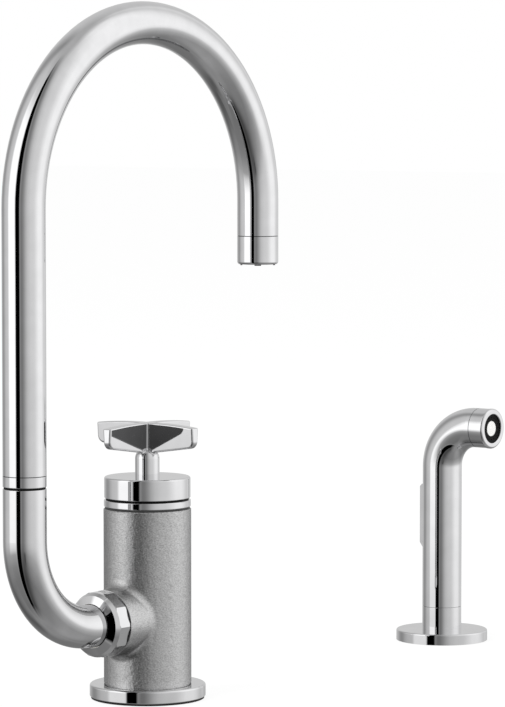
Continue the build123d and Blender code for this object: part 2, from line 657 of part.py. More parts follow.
union_nut.part.label = "union_nut"
export_step(union_nut.part, "parts/union_nut.step")

with BuildPart() as union_washer:
    side_disc(nose_end, tail_face, TAIL_FLANGE_R, TAIL_BORE_R)
union_washer.part.label = "union_washer"
export_step(union_washer.part, "parts/union_washer.step")

# Brass tail in the end of the elbow: its flange is held by the nut.
with BuildPart() as union_tailpiece:
    side_disc(tail_face, nut_wall_start, TAIL_FLANGE_R, TAIL_BORE_R)
    side_disc(nut_wall_start, nut_wall_start + TAIL_SPIGOT_LEN, tube_bore_r - SEAT_FIT, TAIL_BORE_R)
union_tailpiece.part.label = "union_tailpiece"
export_step(union_tailpiece.part, "parts/union_tailpiece.step")

# Elbow tube from the union up to the swivel.
with BuildPart() as elbow_tube:
    with BuildLine(Plane.XZ) as elbow_path:
        run = Line((-nut_wall_start, UNION_Z), (spout_x + ELBOW_R, UNION_Z))
        bend = TangentArc(run @ 1, (spout_x, elbow_z), tangent=run % 1)
        Line(bend @ 1, (spout_x, swivel_z))
    with BuildSketch(Plane((-nut_wall_start, 0, UNION_Z), x_dir=(0, 1, 0), z_dir=(-1, 0, 0))):
        Circle(TUBE_R)
        Circle(tube_bore_r, mode=Mode.SUBTRACT)
    sweep(path=elbow_path.line)
    fillet(elbow_tube.edges().group_by(Axis.Z)[-1].sort_by(SortBy.RADIUS)[-1], TUBE_EDGE_R)
elbow_tube.part.label = "elbow_tube"
export_step(elbow_tube.part, "parts/elbow_tube.step")

# ================================================================ spout swivel

# Brass post fixed in the elbow, with two ring grooves and a clip groove.
with BuildPart() as swivel_post:
    disc(swivel_z - POST_SPIGOT_LEN, swivel_z, tube_bore_r - SEAT_FIT, POST_BORE_R, spout_x)
    disc(swivel_z, post_top, POST_R, POST_BORE_R, spout_x)
    for rise in ORING_RISES:
        with BuildSketch(Plane((spout_x, 0, swivel_z + rise - ORING_WIRE_R))) as groove:
            Circle(POST_R + ORING_WIRE_R)
            Circle(POST_R - 2 * ORING_WIRE_R, mode=Mode.SUBTRACT)
        extrude(groove.sketch, amount=2 * ORING_WIRE_R, mode=Mode.SUBTRACT)
    with BuildSketch(Plane((spout_x, 0, clip_z))) as groove:
        Circle(POST_R + ORING_WIRE_R)
        Circle(CLIP_GROOVE_R, mode=Mode.SUBTRACT)
    extrude(groove.sketch, amount=CLIP_H, mode=Mode.SUBTRACT)
swivel_post.part.label = "swivel_post"
export_step(swivel_post.part, "parts/swivel_post.step")

with BuildPart() as swivel_o_rings:
    for rise in ORING_RISES:
        ring_plane = Plane((spout_x + POST_R - ORING_WIRE_R, 0, swivel_z + rise), z_dir=(0, 1, 0))
        with BuildSketch(ring_plane) as wire_section:
            Circle(ORING_WIRE_R)
        revolve(wire_section.sketch, axis=Axis((spout_x, 0, 0), (0, 0, 1)))
swivel_o_rings.part.label = "swivel_o_rings"
export_step(swivel_o_rings.part, "parts/swivel_o_rings.step")

# Open ring that keeps the spout on the post.
with BuildPart() as swivel_clip:
    disc(clip_z, clip_z + CLIP_H, CLIP_R, CLIP_GROOVE_R, spout_x)
    with BuildSketch(Plane((spout_x + CLIP_R, 0, clip_z))) as clip_mouth:
        Rectangle(CLIP_R, CLIP_MOUTH_W)
    extrude(clip_mouth.sketch, amount=CLIP_H, mode=Mode.SUBTRACT)
swivel_clip.part.label = "swivel_clip"
export_step(swivel_clip.part, "parts/swivel_clip.step")

# Dark plastic bearing washer in the gap under the spout.
with BuildPart() as swivel_washer:
    disc(swivel_z, foot_low, SWIVEL_WASHER_R, POST_R + SEAT_FIT, spout_x)
swivel_washer.part.label = "swivel_washer"
export_step(swivel_washer.part, "parts/swivel_washer.step")

# ================================================================ spout

# Foot of the spout: visible band, and a spigot inside the tube that turns on the post.
with BuildPart() as spout_foot:
    disc(foot_low, foot_seam - SEAM_W, TUBE_R, POST_R + RUN_FIT, spout_x)
    fillet(spout_foot.edges().group_by(Axis.Z)[0].sort_by(SortBy.RADIUS)[-1], TUBE_EDGE_R)
    disc(foot_seam - SEAM_W, foot_seam, TUBE_R - SEAM_D, POST_R + RUN_FIT, spout_x)
    disc(foot_seam, foot_seam + FOOT_SPIGOT_H, tube_bore_r - SEAT_FIT, POST_R + RUN_FIT, spout_x)
spout_foot.part.label = "spout_foot"
export_step(spout_foot.part, "parts/spout_foot.step")

# Gooseneck tube: up, over a half circle, and down to the outlet.
with BuildPart() as spout_tube:
    with BuildLine(Plane.XZ) as spout_path:
        rise = Line((spout_x, foot_seam), (spout_x, arch_start))
        over = ThreePointArc(rise @ 1, (spout_x + ARCH_R, arch_start + ARCH_R), (outlet_x, arch_start))
        Line(over @ 1, (outlet_x, outlet_seam))
    with BuildSketch(Plane((spout_x, 0, foot_seam))):
        Circle(TUBE_R)
        Circle(tube_bore_r, mode=Mode.SUBTRACT)
    sweep(path=spout_path.line)
spout_tube.part.label = "spout_tube"
export_step(spout_tube.part, "parts/spout_tube.step")

# Outlet sleeve with a spigot in the tube and a stepped bore for the aerator.
aerator_low = outlet_end + AERATOR_RECESS
screen_low = aerator_low + AERATOR_H
aerator_washer_low = screen_low + SCREEN_H
aerator_seat = aerator_washer_low + AERATOR_WASHER_H
with BuildPart() as outlet_housing:
    disc(outlet_end, outlet_seam - SEAM_W, TUBE_R, 0, outlet_x)
    disc(outlet_seam - SEAM_W, outlet_seam, TUBE_R - SEAM_D, 0, outlet_x)
    disc(outlet_seam, outlet_seam + OUTLET_SPIGOT_H, tube_bore_r - SEAT_FIT, 0, outlet_x)
    bore(outlet_end, aerator_seat, OUTLET_BORE_R_LOW, outlet_x)
    bore(aerator_seat, outlet_seam + OUTLET_SPIGOT_H, OUTLET_BORE_R_TOP, outlet_x)
    fillet(outlet_housing.edges().group_by(Axis.Z)[0].sort_by(SortBy.RADIUS)[-1], OUTLET_RIM_R)
outlet_housing.part.label = "outlet_housing"
export_step(outlet_housing.part, "parts/outlet_housing.step")

# Aerator: moulded insert with a hexagonal field of holes and four lugs on its rim.
with BuildPart() as aerator_insert:
    disc(aerator_low, screen_low, OUTLET_BORE_R_LOW - SEAT_FIT, 0, outlet_x)
    with BuildSketch(Plane((outlet_x, 0, aerator_low))) as jets:
        with HexLocations(AERATOR_PITCH / 2, AERATOR_ROWS, AERATOR_ROWS):
            Circle(AERATOR_HOLE_R)
    extrude(jets.sketch, amount=AERATOR_H, mode=Mode.SUBTRACT)
    with BuildSketch(Plane((outlet_x, 0, outlet_end - AERATOR_LUG_PROUD))) as lugs:
        with PolarLocations(OUTLET_BORE_R_LOW, 4, start_angle=AERATOR_LUG_TURN):
            Rectangle(2 * AERATOR_LUG_T, AERATOR_LUG_W)
        Circle(OUTLET_BORE_R_LOW - SEAT_FIT, mode=Mode.INTERSECT)
    extrude(lugs.sketch, amount=AERATOR_LUG_PROUD + AERATOR_RECESS)
aerator_insert.part.label = "aerator_insert"
export_step(aerator_insert.part, "parts/aerator_insert.step")

# Pierced screen above the insert.
with BuildPart() as aerator_screen:
    disc(screen_low, aerator_washer_low, OUTLET_BORE_R_LOW - SEAT_FIT, 0, outlet_x)
    with BuildSketch(Plane((outlet_x, 0, screen_low))) as pierce:
        with HexLocations(AERATOR_PITCH / 2, AERATOR_ROWS, AERATOR_ROWS):
            Circle(SCREEN_HOLE_R)
    extrude(pierce.sketch, amount=SCREEN_H, mode=Mode.SUBTRACT)
aerator_screen.part.label = "aerator_screen"
export_step(aerator_screen.part, "parts/aerator_screen.step")

with BuildPart() as aerator_washer:
    disc(aerator_washer_low, aerator_seat, OUTLET_BORE_R_LOW - SEAT_FIT, OUTLET_BORE_R_TOP, outlet_x)
aerator_washer.part.label = "aerator_washer"
export_step(aerator_washer.part, "parts/aerator_washer.step")

# ================================================================ side spray holder

# Flat gasket let into the underside of the spray's escutcheon.
with BuildPart() as spray_gasket:
    disc(0, SPRAY_GASKET_H, SPRAY_GASKET_R, SPRAY_GASKET_BORE_R, SPRAY_X)
spray_gasket.part.label = "spray_gasket"
export_step(spray_gasket.part, "parts/spray_gasket.step")

# Chrome escutcheon, tapped from below for a hollow deck shank.
with BuildPart() as spray_flange:
    disc(0, SPRAY_FLANGE_H, SPRAY_FLANGE_R, 0, SPRAY_X)
    fillet(spray_flange.edges().group_by(Axis.Z)[-1], SPRAY_RIM_R)
    with BuildSketch(Plane((SPRAY_X, 0, 0))) as gasket_seat:
        Circle(SPRAY_GASKET_R + SEAT_FIT)
        Circle(SPRAY_GASKET_BORE_R - SEAT_FIT, mode=Mode.SUBTRACT)
    extrude(gasket_seat.sketch, amount=SPRAY_GASKET_H, mode=Mode.SUBTRACT)
    bore(0, HOLDER_THREAD_H, HOLDER_THREAD_R, SPRAY_X)
    bore(HOLDER_THREAD_H, SPRAY_FLANGE_H, collar_bore_r, SPRAY_X)
spray_flange.part.label = "spray_flange"
export_step(spray_flange.part, "parts/spray_flange.step")

# Chrome collar that stands on the escutcheon and guides the wand.
with BuildPart() as holder_collar:
    disc(SPRAY_FLANGE_H, COLLAR_TOP, COLLAR_R, collar_bore_r, SPRAY_X)
    fillet(holder_collar.edges().group_by(Axis.Z)[-1].sort_by(SortBy.RADIUS)[-1], COLLAR_EDGE_R)
holder_collar.part.label = "holder_collar"
export_step(holder_collar.part, "parts/holder_collar.step")

# Plastic bush inside the collar.
with BuildPart() as holder_bush:
    disc(HOLDER_THREAD_H, COLLAR_TOP - BUSH_LIP, collar_bore_r, bush_bore_r, SPRAY_X)
holder_bush.part.label = "holder_bush"
export_step(holder_bush.part, "parts/holder_bush.step")

# ================================================================ hose end of the wand

# Brass connector: it slides in the bush, its neck turns in the wand, and the hose screws in below.
with BuildPart() as hose_connector:
    disc(connector_low, COLLAR_TOP - BUSH_LIP, connector_r, 0, SPRAY_X)
    disc(COLLAR_TOP - BUSH_LIP, CONNECTOR_TOP, CONNECTOR_NECK_R, 0, SPRAY_X)
    bore(connector_low, connector_low + HOSE_PORT_DEPTH, HOSE_PORT_R, SPRAY_X)
    bore(connector_low + HOSE_PORT_DEPTH, CONNECTOR_TOP, CONNECTOR_WAY_R, SPRAY_X)
    for low, depth, height in ((CONNECTOR_SEAL_Z - ORING_WIRE_R, 2 * ORING_WIRE_R, 2 * ORING_WIRE_R),
                               (CONNECTOR_CLIP_Z, CONNECTOR_CLIP_DEPTH, CONNECTOR_CLIP_H)):
        with BuildSketch(Plane((SPRAY_X, 0, low))) as groove:
            Circle(CONNECTOR_NECK_R + ORING_WIRE_R)
            Circle(CONNECTOR_NECK_R - depth, mode=Mode.SUBTRACT)
        extrude(groove.sketch, amount=height, mode=Mode.SUBTRACT)
hose_connector.part.label = "hose_connector"
export_step(hose_connector.part, "parts/hose_connector.step")

with BuildPart() as connector_o_ring:
    ring_plane = Plane((SPRAY_X + CONNECTOR_NECK_R - ORING_WIRE_R, 0, CONNECTOR_SEAL_Z), z_dir=(0, 1, 0))
    with BuildSketch(ring_plane) as wire_section:
        Circle(ORING_WIRE_R)
    revolve(wire_section.sketch, axis=Axis((SPRAY_X, 0, 0), (0, 0, 1)))
connector_o_ring.part.label = "connector_o_ring"
export_step(connector_o_ring.part, "parts/connector_o_ring.step")

with BuildPart() as connector_clip:
    disc(CONNECTOR_CLIP_Z, CONNECTOR_CLIP_Z + CONNECTOR_CLIP_H, CONNECTOR_NECK_R + CONNECTOR_CLIP_PROUD,
         CONNECTOR_NECK_R - CONNECTOR_CLIP_DEPTH, SPRAY_X)
    with BuildSketch(Plane((SPRAY_X + CONNECTOR_NECK_R, 0, CONNECTOR_CLIP_Z))) as clip_mouth:
        Rectangle(CONNECTOR_NECK_R, CONNECTOR_CLIP_MOUTH_W)
    extrude(clip_mouth.sketch, amount=CONNECTOR_CLIP_H, mode=Mode.SUBTRACT)
connector_clip.part.label = "connector_clip"
export_step(connector_clip.part, "parts/connector_clip.step")

# ================================================================ wand

trigger_face = WAND_R + TRIGGER_PROUD
slot_half_w = TRIGGER_W / 2 + MOVE_GAP

# Bent tube of the wand, slotted at the back for the trigger.
with BuildPart() as wand_tube:
    with BuildLine(Plane((SPRAY_X, 0, 0), x_dir=(0, -1, 0), z_dir=(-1, 0, 0))) as wand_path:
        rise = Line((0, wand_low), (0, bend_z))
        over = TangentArc(rise @ 1, (WAND_BEND_R, HEAD_AXIS_Z), tangent=rise % 1)
        Line(over @ 1, (HEAD_SEAM_Y, HEAD_AXIS_Z))
    with BuildSketch(Plane((SPRAY_X, 0, wand_low))):
        Circle(WAND_R)
        Circle(wand_bore_r, mode=Mode.SUBTRACT)
    sweep(path=wand_path.line)
    slot_plane = Plane((SPRAY_X, 0, (TRIGGER_LOW + TRIGGER_HIGH) / 2), x_dir=(-1, 0, 0), z_dir=(0, 1, 0))
    with BuildSketch(slot_plane) as slot:
        Rectangle(2 * slot_half_w, TRIGGER_HIGH - TRIGGER_LOW + 2 * MOVE_GAP)
    extrude(slot.sketch, amount=WAND_R, mode=Mode.SUBTRACT)
    with BuildSketch(Plane((SPRAY_X, PIVOT_Y, PIVOT_Z), x_dir=(0, 1, 0), z_dir=(1, 0, 0))) as pin_holes:
        Circle(PIVOT_PIN_R + SEAT_FIT)
    extrude(pin_holes.sketch, amount=PIN_LEN / 2, both=True, mode=Mode.SUBTRACT)
wand_tube.part.label = "wand_tube"
export_step(wand_tube.part, "parts/wand_tube.step")

# Brass sleeve in the wand's lower end, which turns on the connector's neck.
with BuildPart() as connector_sleeve:
    disc(wand_low, SLEEVE_TOP, wand_bore_r - SEAT_FIT, CONNECTOR_NECK_R + RUN_FIT, SPRAY_X)
connector_sleeve.part.label = "connector_sleeve"
export_step(connector_sleeve.part, "parts/connector_sleeve.step")

# Spray valve: body with a seat, spring cap below, stem with its seal, and the spring.
with BuildPart() as valve_body:
    disc(VALVE_LOW, VALVE_TOP, wand_bore_r - SEAT_FIT, 0, SPRAY_X)
    bore(VALVE_LOW, VALVE_SEAT_Z, VALVE_CHAMBER_R, SPRAY_X)
    bore(VALVE_SEAT_Z, VALVE_TOP, VALVE_PASSAGE_R, SPRAY_X)
valve_body.part.label = "valve_body"
export_step(valve_body.part, "parts/valve_body.step")

with BuildPart() as valve_cap:
    disc(VALVE_LOW, VALVE_LOW + VALVE_CAP_H, VALVE_CHAMBER_R - SEAT_FIT, VALVE_CAP_BORE_R, SPRAY_X)
valve_cap.part.label = "valve_cap"
export_step(valve_cap.part, "parts/valve_cap.step")

seal_low = VALVE_SEAT_Z - VALVE_SEAL_H
head_low = seal_low - VALVE_HEAD_H
arm_low = PIVOT_Z - ARM_H / 2
with BuildPart() as valve_stem:
    disc(head_low, seal_low, VALVE_HEAD_R, 0, SPRAY_X)
    disc(seal_low, arm_low - MOVE_GAP, VALVE_STEM_R, 0, SPRAY_X)
valve_stem.part.label = "valve_stem"
export_step(valve_stem.part, "parts/valve_stem.step")

with BuildPart() as valve_seal:
    disc(seal_low, VALVE_SEAT_Z, VALVE_HEAD_R, VALVE_STEM_R + SEAT_FIT, SPRAY_X)
valve_seal.part.label = "valve_seal"
export_step(valve_seal.part, "parts/valve_seal.step")

spring_low = VALVE_LOW + VALVE_CAP_H + SPRING_WIRE_R
spring_h = head_low - SPRING_WIRE_R - spring_low
with BuildPart() as valve_spring:
    with BuildLine(Plane((SPRAY_X, 0, spring_low))) as coil:
        Helix(pitch=spring_h / SPRING_TURNS, height=spring_h, radius=SPRING_R)
    with BuildSketch(Plane(coil.line @ 0, z_dir=coil.line % 0)):
        Circle(SPRING_WIRE_R)
    sweep(path=coil.line, is_frenet=True)
valve_spring.part.label = "valve_spring"
export_step(valve_spring.part, "parts/valve_spring.step")

# Trigger: curved paddle in the slot, with an arm that reaches the valve stem.
draft_x = TRIGGER_W / 2 - (2 * trigger_face - wand_bore_r) * tan(radians(TRIGGER_DRAFT))
with BuildPart() as trigger_paddle:
    with BuildSketch(Plane((SPRAY_X, 0, TRIGGER_LOW))) as paddle_plan:
        Circle(trigger_face)
        Circle(trigger_face - TRIGGER_DEPTH, mode=Mode.SUBTRACT)
        with BuildLine():
            Polyline((-TRIGGER_W / 2, 0), (-TRIGGER_W / 2, wand_bore_r), (-draft_x, 2 * trigger_face),
                     (draft_x, 2 * trigger_face), (TRIGGER_W / 2, wand_bore_r), (TRIGGER_W / 2, 0),
                     close=True)
        make_face(mode=Mode.INTERSECT)
    extrude(paddle_plan.sketch, amount=TRIGGER_HIGH - TRIGGER_LOW)
    outer_top = trigger_paddle.edges().filter_by(GeomType.CIRCLE).group_by(Axis.Z)[-1].sort_by(Axis.Y)[-1]
    chamfer(outer_top, TRIGGER_TOP_CHAMFER)
    outer_low = trigger_paddle.edges().filter_by(GeomType.CIRCLE).group_by(Axis.Z)[0].sort_by(Axis.Y)[-1]
    chamfer(outer_low, TRIGGER_LOW_BEVEL, TRIGGER_PROUD)
    with BuildSketch(Plane((SPRAY_X, -VALVE_STEM_R, PIVOT_Z), x_dir=(1, 0, 0), z_dir=(0, 1, 0))) as arm:
        Rectangle(ARM_W, ARM_H)
    extrude(arm.sketch, amount=PIVOT_Y + VALVE_STEM_R)
    with BuildSketch(Plane((SPRAY_X, PIVOT_Y, PIVOT_Z), x_dir=(0, 1, 0), z_dir=(1, 0, 0))) as knuckle:
        Circle(KNUCKLE_R)
    extrude(knuckle.sketch, amount=KNUCKLE_W / 2, both=True)
    with BuildSketch(Plane((SPRAY_X, PIVOT_Y, PIVOT_Z), x_dir=(0, 1, 0), z_dir=(1, 0, 0))) as pin_hole:
        Circle(PIVOT_PIN_R + RUN_FIT)
    extrude(pin_hole.sketch, amount=TRIGGER_W / 2, both=True, mode=Mode.SUBTRACT)
trigger_paddle.part.label = "trigger_paddle"
export_step(trigger_paddle.part, "parts/trigger_paddle.step")

with BuildPart() as trigger_pin:
    with BuildSketch(Plane((SPRAY_X, PIVOT_Y, PIVOT_Z), x_dir=(0, 1, 0), z_dir=(1, 0, 0))):
        Circle(PIVOT_PIN_R)
    extrude(amount=PIN_LEN / 2, both=True)
trigger_pin.part.label = "trigger_pin"
export_step(trigger_pin.part, "parts/trigger_pin.step")

# ================================================================ spray head

ring_start = NOZZLE_Y - NOZZLE_RING_L
with BuildPart() as spray_head:
    head_disc(HEAD_SEAM_Y, HEAD_SEAM_Y + SEAM_W, WAND_R - SEAM_D, wand_bore_r)
    head_disc(HEAD_SEAM_Y + SEAM_W, ring_start, WAND_R, wand_bore_r)
spray_head.part.label = "spray_head"
export_step(spray_head.part, "parts/spray_head.step")

# Chrome ring with a rounded lip round the nozzle.
with BuildPart() as nozzle_ring:
    head_disc(ring_start, NOZZLE_Y, NOZZLE_RING_R, NOZZLE_BORE_R)
    fillet(nozzle_ring.edges().group_by(Axis.Y)[0].sort_by(SortBy.RADIUS)[-1], NOZZLE_LIP_R)
    fillet(nozzle_ring.edges().group_by(Axis.Y)[0].sort_by(SortBy.RADIUS)[0], NOZZLE_LIP_INNER_R)
nozzle_ring.part.label = "nozzle_ring"
export_step(nozzle_ring.part, "parts/nozzle_ring.step")

# Dark insert with a ring of jets, behind the lip, and the pale core in its middle.
insert_end = NOZZLE_Y - NOZZLE_RECESS
insert_start = insert_end - NOZZLE_INSERT_L
with BuildPart() as nozzle_insert:
    head_disc(insert_start, insert_end, NOZZLE_BORE_R - SEAT_FIT, NOZZLE_CORE_R + SEAT_FIT)
    head_disc(insert_start, ring_start, wand_bore_r - SEAT_FIT, NOZZLE_CORE_R + SEAT_FIT)
    jet_plane = Plane((SPRAY_X, -insert_start, HEAD_AXIS_Z), x_dir=(1, 0, 0), z_dir=(0, -1, 0))
    with BuildSketch(jet_plane) as jets:
        with PolarLocations((NOZZLE_CORE_R + NOZZLE_BORE_R) / 2, JET_COUNT):
            Circle(JET_R)
    extrude(jets.sketch, amount=NOZZLE_INSERT_L, mode=Mode.SUBTRACT)
nozzle_insert.part.label = "nozzle_insert"
export_step(nozzle_insert.part, "parts/nozzle_insert.step")

with BuildPart() as nozzle_core:
    head_disc(insert_start, insert_end, NOZZLE_CORE_R)
    fillet(nozzle_core.edges().group_by(Axis.Y)[0], NOZZLE_CORE_EDGE_R)
nozzle_core.part.label = "nozzle_core"
export_step(nozzle_core.part, "parts/nozzle_core.step")
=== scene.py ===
import bmesh
import bpy
from math import radians
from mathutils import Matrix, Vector

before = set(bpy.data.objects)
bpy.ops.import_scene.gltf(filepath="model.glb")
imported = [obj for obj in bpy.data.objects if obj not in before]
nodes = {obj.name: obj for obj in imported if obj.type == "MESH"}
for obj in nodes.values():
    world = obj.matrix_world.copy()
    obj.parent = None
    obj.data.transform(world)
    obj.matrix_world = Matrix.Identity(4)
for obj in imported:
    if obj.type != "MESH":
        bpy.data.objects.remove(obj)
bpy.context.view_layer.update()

MM = 0.001


# ---------------------------------------------------------------- camera
# The camera stands at the front left with a long lens, about 0.2 m above the handle, and is
# tipped down by 4 degrees. The turn is measured from +Y towards +X.
CAMERA_PLACE = (-1.6560, -1.3953, 0.3556)
CAMERA_TURN = 51.52
CAMERA_TIP = 4.026
CAMERA_LENS = 188.4

camera = bpy.data.objects.new("camera", bpy.data.cameras.new("camera"))
bpy.context.scene.collection.objects.link(camera)
camera.location = CAMERA_PLACE
camera.rotation_euler = (radians(90 - CAMERA_TIP), 0, radians(-CAMERA_TURN))
camera.data.sensor_width = 36
camera.data.lens = CAMERA_LENS
camera.data.clip_start = 0.1
camera.data.clip_end = 50
bpy.context.scene.camera = camera
bpy.context.scene.view_settings.view_transform = "Standard"


# ---------------------------------------------------------------- studio
# A white studio: the world is plain white to the eye and lights the object evenly. A dome of
# grey cloth stands round it for the chrome to show, paler to the right and behind, grey
# below, with one white screen and a narrow black flag beside it.
def linear(colour):
    """The linear values of an sRGB colour written as six hex digits."""
    channels = [int(colour[i:i + 2], 16) / 255 for i in (0, 2, 4)]
    return tuple(c / 12.92 if c <= 0.04045 else ((c + 0.055) / 1.055) ** 2.4
                 for c in channels) + (1.0,)


def add(tree, kind, values=None, **settings):
    """A node of that kind, with its settings, and its sockets set to values or joined."""
    made = tree.nodes.new("ShaderNode" + kind)
    for name, value in settings.items():
        setattr(made, name, value)
    for socket, value in (values or {}).items():
        if isinstance(value, bpy.types.NodeSocket):
            tree.links.new(value, made.inputs[socket])
        else:
            made.inputs[socket].default_value = value
    return made


def ramp(tree, factor, stops):
    """The colour of a ramp through the given (place, hex colour) stops."""
    made = add(tree, "ValToRGB", {0: factor})
    band = made.color_ramp
    while len(band.elements) < len(stops):
        band.elements.new(1.0)
    for element, (place, colour) in zip(band.elements, stops):
        element.position = place
        element.color = linear(colour)
    return made.outputs[0]


def mix(tree, factor, first, second, blend_type="MIX"):
    """Two colours mixed by the factor."""
    made = add(tree, "Mix", {0: factor, 6: first, 7: second}, data_type="RGBA",
               blend_type=blend_type)
    return made.outputs[2]


def new_material(name):
    """An empty node material, its tree and its output."""
    made = bpy.data.materials.new(name)
    made.use_nodes = True
    made.node_tree.nodes.clear()
    return made, made.node_tree, add(made.node_tree, "OutputMaterial")


def seen(tree):
    """1 for what the camera, the metal and the clear parts see, 0 for light."""
    path = add(tree, "LightPath")
    both = add(tree, "Math", {0: path.outputs["Is Camera Ray"], 1: path.outputs["Is Glossy Ray"]},
               operation="MAXIMUM")
    return add(tree, "Math", {0: both.outputs[0], 1: path.outputs["Is Transmission Ray"]},
               operation="MAXIMUM").outputs[0]


def join(name, build, material):
    """A mesh object filled by build(bmesh), with that material."""
    data = bpy.data.meshes.new(name)
    mesh = bmesh.new()
    build(mesh)
    mesh.to_mesh(data)
    mesh.free()
    made = bpy.data.objects.new(name, data)
    bpy.context.scene.collection.objects.link(made)
    data.materials.append(material)
    return made


WORLD_LIGHT = 0.92
world = bpy.data.worlds.new("world")
bpy.context.scene.world = world
world.use_nodes = True
tree = world.node_tree
tree.nodes.clear()
light = add(tree, "Background", {"Color": linear("ffffff"), "Strength": WORLD_LIGHT})
white = add(tree, "Background", {"Color": linear("ffffff"), "Strength": 1.0})
mixed = add(tree, "MixShader", {0: seen(tree), 1: light.outputs[0], 2: white.outputs[0]})
add(tree, "OutputWorld", {"Surface": mixed.outputs[0]})

DOME_R = 4.0
DOME_GLOW = 1.43
FACING = 180 + 90 - CAMERA_TURN
# Degrees round the object, from the camera's side to the right, and the cloth's grey there.
WALL = ((-180, "b6b6b6"), (-158, "b6b6b6"), (-143, "9c9c9c"), (-134, "8c8c8c"),
        (-124, "929292"), (-114, "aaaaaa"), (-104, "bababa"), (-88, "c2c2c2"), (-47, "d0d0d0"),
        (-43, "e8e8e8"), (-39.8, "000000"), (-21, "000000"), (-17.5, "868686"), (-11, "707070"),
        (-5, "747474"), (3, "8a8a8a"), (12, "a6a6a6"), (22, "bababa"), (37, "c6c6c6"),
        (52, "cacaca"), (60, "cfcfcf"), (70, "dcdcdc"), (84, "ebebeb"), (104, "ebebeb"),
        (114, "e0e0e0"), (123, "d0d0d0"), (131, "c6c6c6"), (142, "cccccc"), (155, "b8b8b8"),
        (180, "b6b6b6"))
# Degrees above the horizon, and how much of the wall's grey is left there.
FALL = ((-90, "a0a0a0"), (-35, "959595"), (-22, "aeaeae"), (-14, "c8c8c8"), (-7, "f4f4f4"),
        (0, "ffffff"), (50, "ffffff"), (70, "f0f0f0"), (90, "d0d0d0"))
# The caps below and above that close the dome: how much of them shows, and their grey.
POLE = ((-90, "ffffff"), (-80, "ffffff"), (-62, "000000"), (66, "000000"), (82, "ffffff"))
POLE_GREY = ((-90, "808080"), (90, "a4a4a4"))
# The screen's edges to the left and right, and its grey from below to above.
SCREEN_ROUND = ((-86, "000000"), (-78, "ffffff"), (-45.8, "ffffff"), (-43.5, "000000"))
SCREEN_UP = ((-90, "606060"), (-35, "707070"), (-25, "7d7d7d"), (-15, "989898"),
             (-11.3, "c7c7c7"), (-8.2, "dbdbdb"), (-6.2, "ebebeb"), (-4.4, "f4f4f4"),
             (-1.8, "ffffff"), (42, "ffffff"), (58, "c4c4c4"), (90, "a4a4a4"))

# The dark patch under the lens, which the handle's blades throw back between them.
PATCH_ROUND = ((-7, "000000"), (0.3, "e0e0e0"), (1.0, "ffffff"), (1.7, "f4f4f4"),
               (2.8, "8c8c8c"), (7, "000000"))
PATCH_UP = ((-25, "000000"), (-19, "ffffff"), (-14.5, "ffffff"), (-11.5, "000000"))
PATCH_GREY = "303030"

dome_cloth, tree, out = new_material("dome_cloth")
place = add(tree, "TexCoord").outputs["Object"]
aim = add(tree, "VectorMath", {0: place}, operation="NORMALIZE").outputs["Vector"]
part = add(tree, "SeparateXYZ", {0: aim})
turn = add(tree, "Math", {0: part.outputs["Y"], 1: part.outputs["X"]}, operation="ARCTAN2")
rise = add(tree, "Math", {0: part.outputs["Z"]}, operation="ARCSINE")


def round_ramp(stops):
    """The colour of stops given in degrees round the dome."""
    spot = add(tree, "MapRange", {"Value": turn.outputs[0], "From Min": radians(-180),
                                  "From Max": radians(180)}).outputs[0]
    return ramp(tree, spot, [((angle + 180) / 360, grey) for angle, grey in stops])


def up_ramp(stops):
    """The colour of stops given in degrees up the dome."""
    spot = add(tree, "MapRange", {"Value": rise.outputs[0], "From Min": radians(-90),
                                  "From Max": radians(90)}).outputs[0]
    return ramp(tree, spot, [((angle + 90) / 180, grey) for angle, grey in stops])


cloth = mix(tree, 1.0, round_ramp(WALL), up_ramp(FALL), "MULTIPLY")
cloth = mix(tree, round_ramp(SCREEN_ROUND), cloth, up_ramp(SCREEN_UP))
patch = mix(tree, 1.0, round_ramp(PATCH_ROUND), up_ramp(PATCH_UP), "MULTIPLY")
cloth = mix(tree, patch, cloth, linear(PATCH_GREY))
cloth = mix(tree, up_ramp(POLE), cloth, up_ramp(POLE_GREY))
glow = add(tree, "Emission", {"Color": cloth, "Strength": DOME_GLOW})
tree.links.new(glow.outputs[0], out.inputs["Surface"])


def dome_mesh(mesh):
    bmesh.ops.create_uvsphere(mesh, u_segments=96, v_segments=48, radius=DOME_R)


dome = join("dome", dome_mesh, dome_cloth)
dome.rotation_euler = (0, 0, radians(FACING))
dome.visible_camera = False
dome.visible_diffuse = False
dome.visible_shadow = False

# The floor is white. The eye sees it almost at its own colour, with a faint shadow where
# the part stands, and it lets reflections by, so that the chrome shows the dome.
FLOOR_SIZE = 12
FLOOR_OWN = 0.88
FLOOR_DROP_MM = 0.2
FLOOR_GRAINS_PER_M = 300.0
floor_paint, tree, out = new_material("floor_paint")
place = add(tree, "TexCoord").outputs["Object"]
grain = add(tree, "TexNoise", {"Vector": place, "Scale": FLOOR_GRAINS_PER_M})
paint = ramp(tree, grain.outputs["Fac"], ((0.3, "fcfcfc"), (0.7, "ffffff")))
matt = add(tree, "BsdfDiffuse", {"Color": paint})
glow = add(tree, "Emission", {"Color": linear("ffffff"), "Strength": 1.0})
half = add(tree, "Math", {0: seen(tree), 1: FLOOR_OWN}, operation="MULTIPLY")
mixed = add(tree, "MixShader", {0: half.outputs[0], 1: matt.outputs[0], 2: glow.outputs[0]})
tree.links.new(mixed.outputs[0], out.inputs["Surface"])


def floor_mesh(mesh):
    bmesh.ops.create_grid(mesh, x_segments=1, y_segments=1, size=FLOOR_SIZE)


floor = join("floor", floor_mesh, floor_paint)
floor.location = (0, 0, -FLOOR_DROP_MM * MM)
floor.visible_glossy = False

